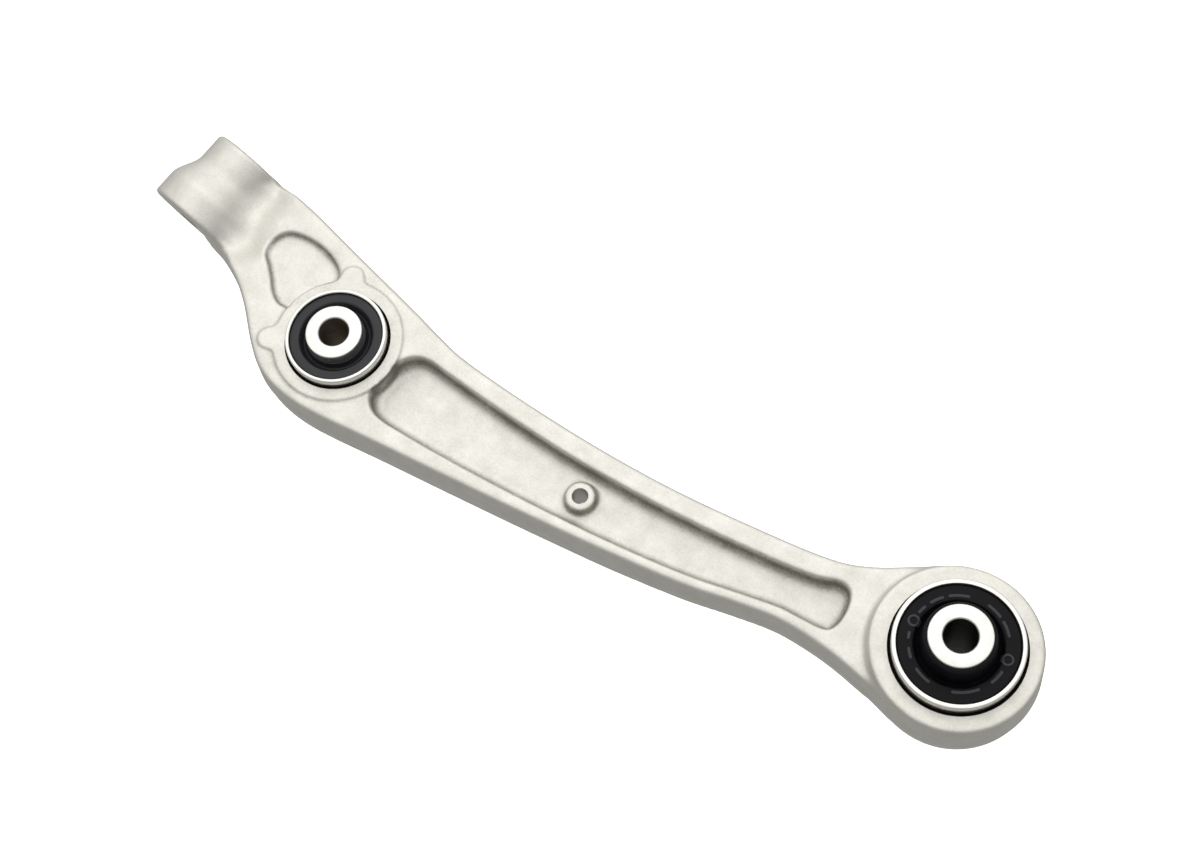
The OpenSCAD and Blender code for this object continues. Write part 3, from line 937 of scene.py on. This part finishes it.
def mould_marks(r, h, t):
    """Share of the full height of the marks: 1 within a bar or ring, falling to 0 over a short
    slope. The distance to a bar joins its distance across and its distance along the arc."""
    distance = np.full(np.broadcast(r, t).shape, 1e3)
    for first, last in bars:
        middle, half = math.radians((first + last) / 2), math.radians((last - first) / 2)
        off = np.abs((t - middle + math.pi) % (2 * math.pi) - math.pi)
        along = (off - half) * MARK_R + BAR_HALF_W
        across = np.abs(r - MARK_R)
        distance = np.minimum(distance, np.hypot(across, np.maximum(along, 0)) - BAR_HALF_W)
    for angle in ring_marks:
        x = r * np.cos(t) - MARK_R * math.cos(math.radians(angle))
        y = r * np.sin(t) - MARK_R * math.sin(math.radians(angle))
        distance = np.minimum(distance, np.abs(np.hypot(x, y) - RING_MID_R) - RING_HALF_W)
    share = np.clip(1 - distance / MARK_SLOPE, 0, 1)
    return np.where(h > 0, share * share * (3 - 2 * share), 0)


# %% Mould the rubbers
def filled_in(profile, low, high, spacing):
    """The profile with extra points, spacing apart, along its flat stretches on the upper side
    that reach past the radius low, so that marks have points to stand on. high is not used."""
    out = []
    for here, ahead in zip(profile, np.roll(profile, -1, axis=0)):
        flat = abs(here[1] - ahead[1]) < 1e-6 and max(here[0], ahead[0]) > low
        steps = max(1, int(abs(here[0] - ahead[0]) / spacing)) if flat and here[1] > 0 else 1
        out.append(here + (ahead - here) * (np.arange(steps) / steps)[:, None])
    return np.concatenate(out)


OUTER_GAP, INNER_GAP, GROOVE_SLOPE_W = 0.02, 0.05, 1.5


def rubber_piece(label, land_sink, groove, collar, segments, marks, material):
    """Land, groove (outer radius, inner radius, depth below the lip) and collar (width, end).
    The rubber stands off both sleeves by a hair, so that no two surfaces coincide."""
    outer_low, outer_high = node_span(label + "_outer_sleeve")
    inner_low, inner_high = node_span(label + "_inner_sleeve")
    outer = (outer_high[0] - outer_low[0]) / 2 - walls[label] - OUTER_GAP
    inner = (inner_high[0] - inner_low[0]) / 2 + INNER_GAP
    middle = (outer_high[2] + outer_low[2]) / 2
    lip = outer_high[2] - middle
    groove_out, groove_in, sink = groove
    collar_w, collar_end = collar
    upper = [
        (outer, lip - land_sink, 0.5), (groove_out, lip - land_sink, 0.9),
        (groove_out - GROOVE_SLOPE_W, lip - sink, 0.9), (groove_in, lip - sink, 1.2),
        (inner + collar_w, collar_end - 1.0, 0.8), (inner + collar_w * 0.6, collar_end, 0.3),
        (inner, collar_end, 0.1),
    ]
    corners = upper + [(r, -h, fillet) for r, h, fillet in reversed(upper)]
    profile = rounded(corners[::-1])
    if marks:
        profile = filled_in(profile, MARK_R, MARK_R, 0.22)
    centre = ((outer_low[0] + outer_high[0]) / 2, (outer_low[1] + outer_high[1]) / 2, middle)
    t = np.linspace(0, 2 * math.pi, segments, endpoint=False)[None, :]
    share = mould_marks(profile[:, :1], profile[:, 1:], t) * marks
    points, faces = revolve(profile, centre, segments=segments)
    points[:, 2] += MARK_HEIGHT * share.ravel()
    piece = mesh_piece("moulded_" + label + "_rubber", points, faces)
    attribute = piece.data.attributes.new("mark", "FLOAT", "POINT")
    attribute.data.foreach_set("value", share.ravel())
    stand_in(piece, label + "_rubber", "arm", material)


chassis_compound = bush_rubber("moulded_rubber_hard", ("#08080b", "#101015", "#434348"), 0.14)
damper_compound = bush_rubber("moulded_rubber_soft", ("#141419", "#1d1d24", "#3c3c40"), 0.5)
rubber_piece("chassis", land_sink=1.0, groove=(16.6, 14.6, 3.5), collar=(1.35, 28.8),
             segments=720, marks=True, material=chassis_compound)
rubber_piece("damper", land_sink=1.0, groove=(15.2, 13.0, 4.0), collar=(0.75, 15.1),
             segments=192, marks=False, material=damper_compound)

# %% [markdown]
# ## Floor and light
# The arm lies on a pale plain floor in a white light tent, as small metal parts are shown. The
# tent is brightest overhead and behind the arm and falls off smoothly towards the front, so the
# flat faces shine evenly while the flanks stay grey and the section of the beam reads well. A
# sky that is a function of direction does this with no hot spots, where lamps would leave some.

# %% Floor
floor_span, floor_clearance = 12.0, 0.2 * MM
floor_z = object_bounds()[0][2] - floor_clearance
floor_mesh = bpy.data.meshes.new("floor")
floor_mesh.from_pydata(
    [(x * floor_span, y * floor_span, floor_z) for x, y in ((-1, -1), (1, -1), (1, 1), (-1, 1))],
    [], [(0, 1, 2, 3)],
)
floor = bpy.data.objects.new("floor", floor_mesh)
bpy.context.collection.objects.link(floor)
floor.data.materials.append(finished(new_material("white_paper")[0], {
    "Base Color": linear("#f8f8f8"), "Roughness": 1.0, "Specular IOR Level": 0.0,
    "Emission Color": linear("#ffffff"), "Emission Strength": 0.9,
}))
floor.visible_glossy = False

# %% Light tent
tent_low, tent_high = 0.40, 1.36
world = bpy.data.worlds.new("light_tent")
bpy.context.scene.world = world
world.use_nodes = True
sky = world.node_tree
sky.nodes.clear()
bright_side = Vector((0.27, -0.36, 0.89)).normalized()
direction = add_node(sky, "ShaderNodeTexCoord").outputs["Generated"]
facing = add_node(sky, "ShaderNodeVectorMath", {0: direction, 1: tuple(bright_side)},
                  operation="DOT_PRODUCT").outputs["Value"]
level = add_node(sky, "ShaderNodeMapRange", {
    "Value": facing, "From Min": 0.0, "From Max": 1.0, "To Min": tent_low, "To Max": tent_high,
}, interpolation_type="SMOOTHSTEP").outputs["Result"]
cloth = add_node(sky, "ShaderNodeBackground", {"Color": linear("#fbfbf9"), "Strength": level})
add_node(sky, "ShaderNodeOutputWorld", {"Surface": cloth.outputs["Background"]})


def soft_lamp(name, direction, reach, size, power):
    """A square lamp at a distance along a direction from the middle of the arm, facing it."""
    lamp = bpy.data.lights.new(name, "AREA")
    lamp.size, lamp.energy = size, power
    holder = bpy.data.objects.new(name, lamp)
    bpy.context.collection.objects.link(holder)
    towards = Vector(direction).normalized()
    holder.location = aim + towards * reach
    holder.rotation_mode = "QUATERNION"
    holder.rotation_quaternion = towards.to_track_quat("Z", "Y")


soft_lamp("tent_lamp", (0.3, -0.4, 0.87), reach=1.5, size=0.8, power=1.5)
bpy.context.scene.view_settings.view_transform = "Standard"
print("tent brightness from", tent_low, "to", tent_high)
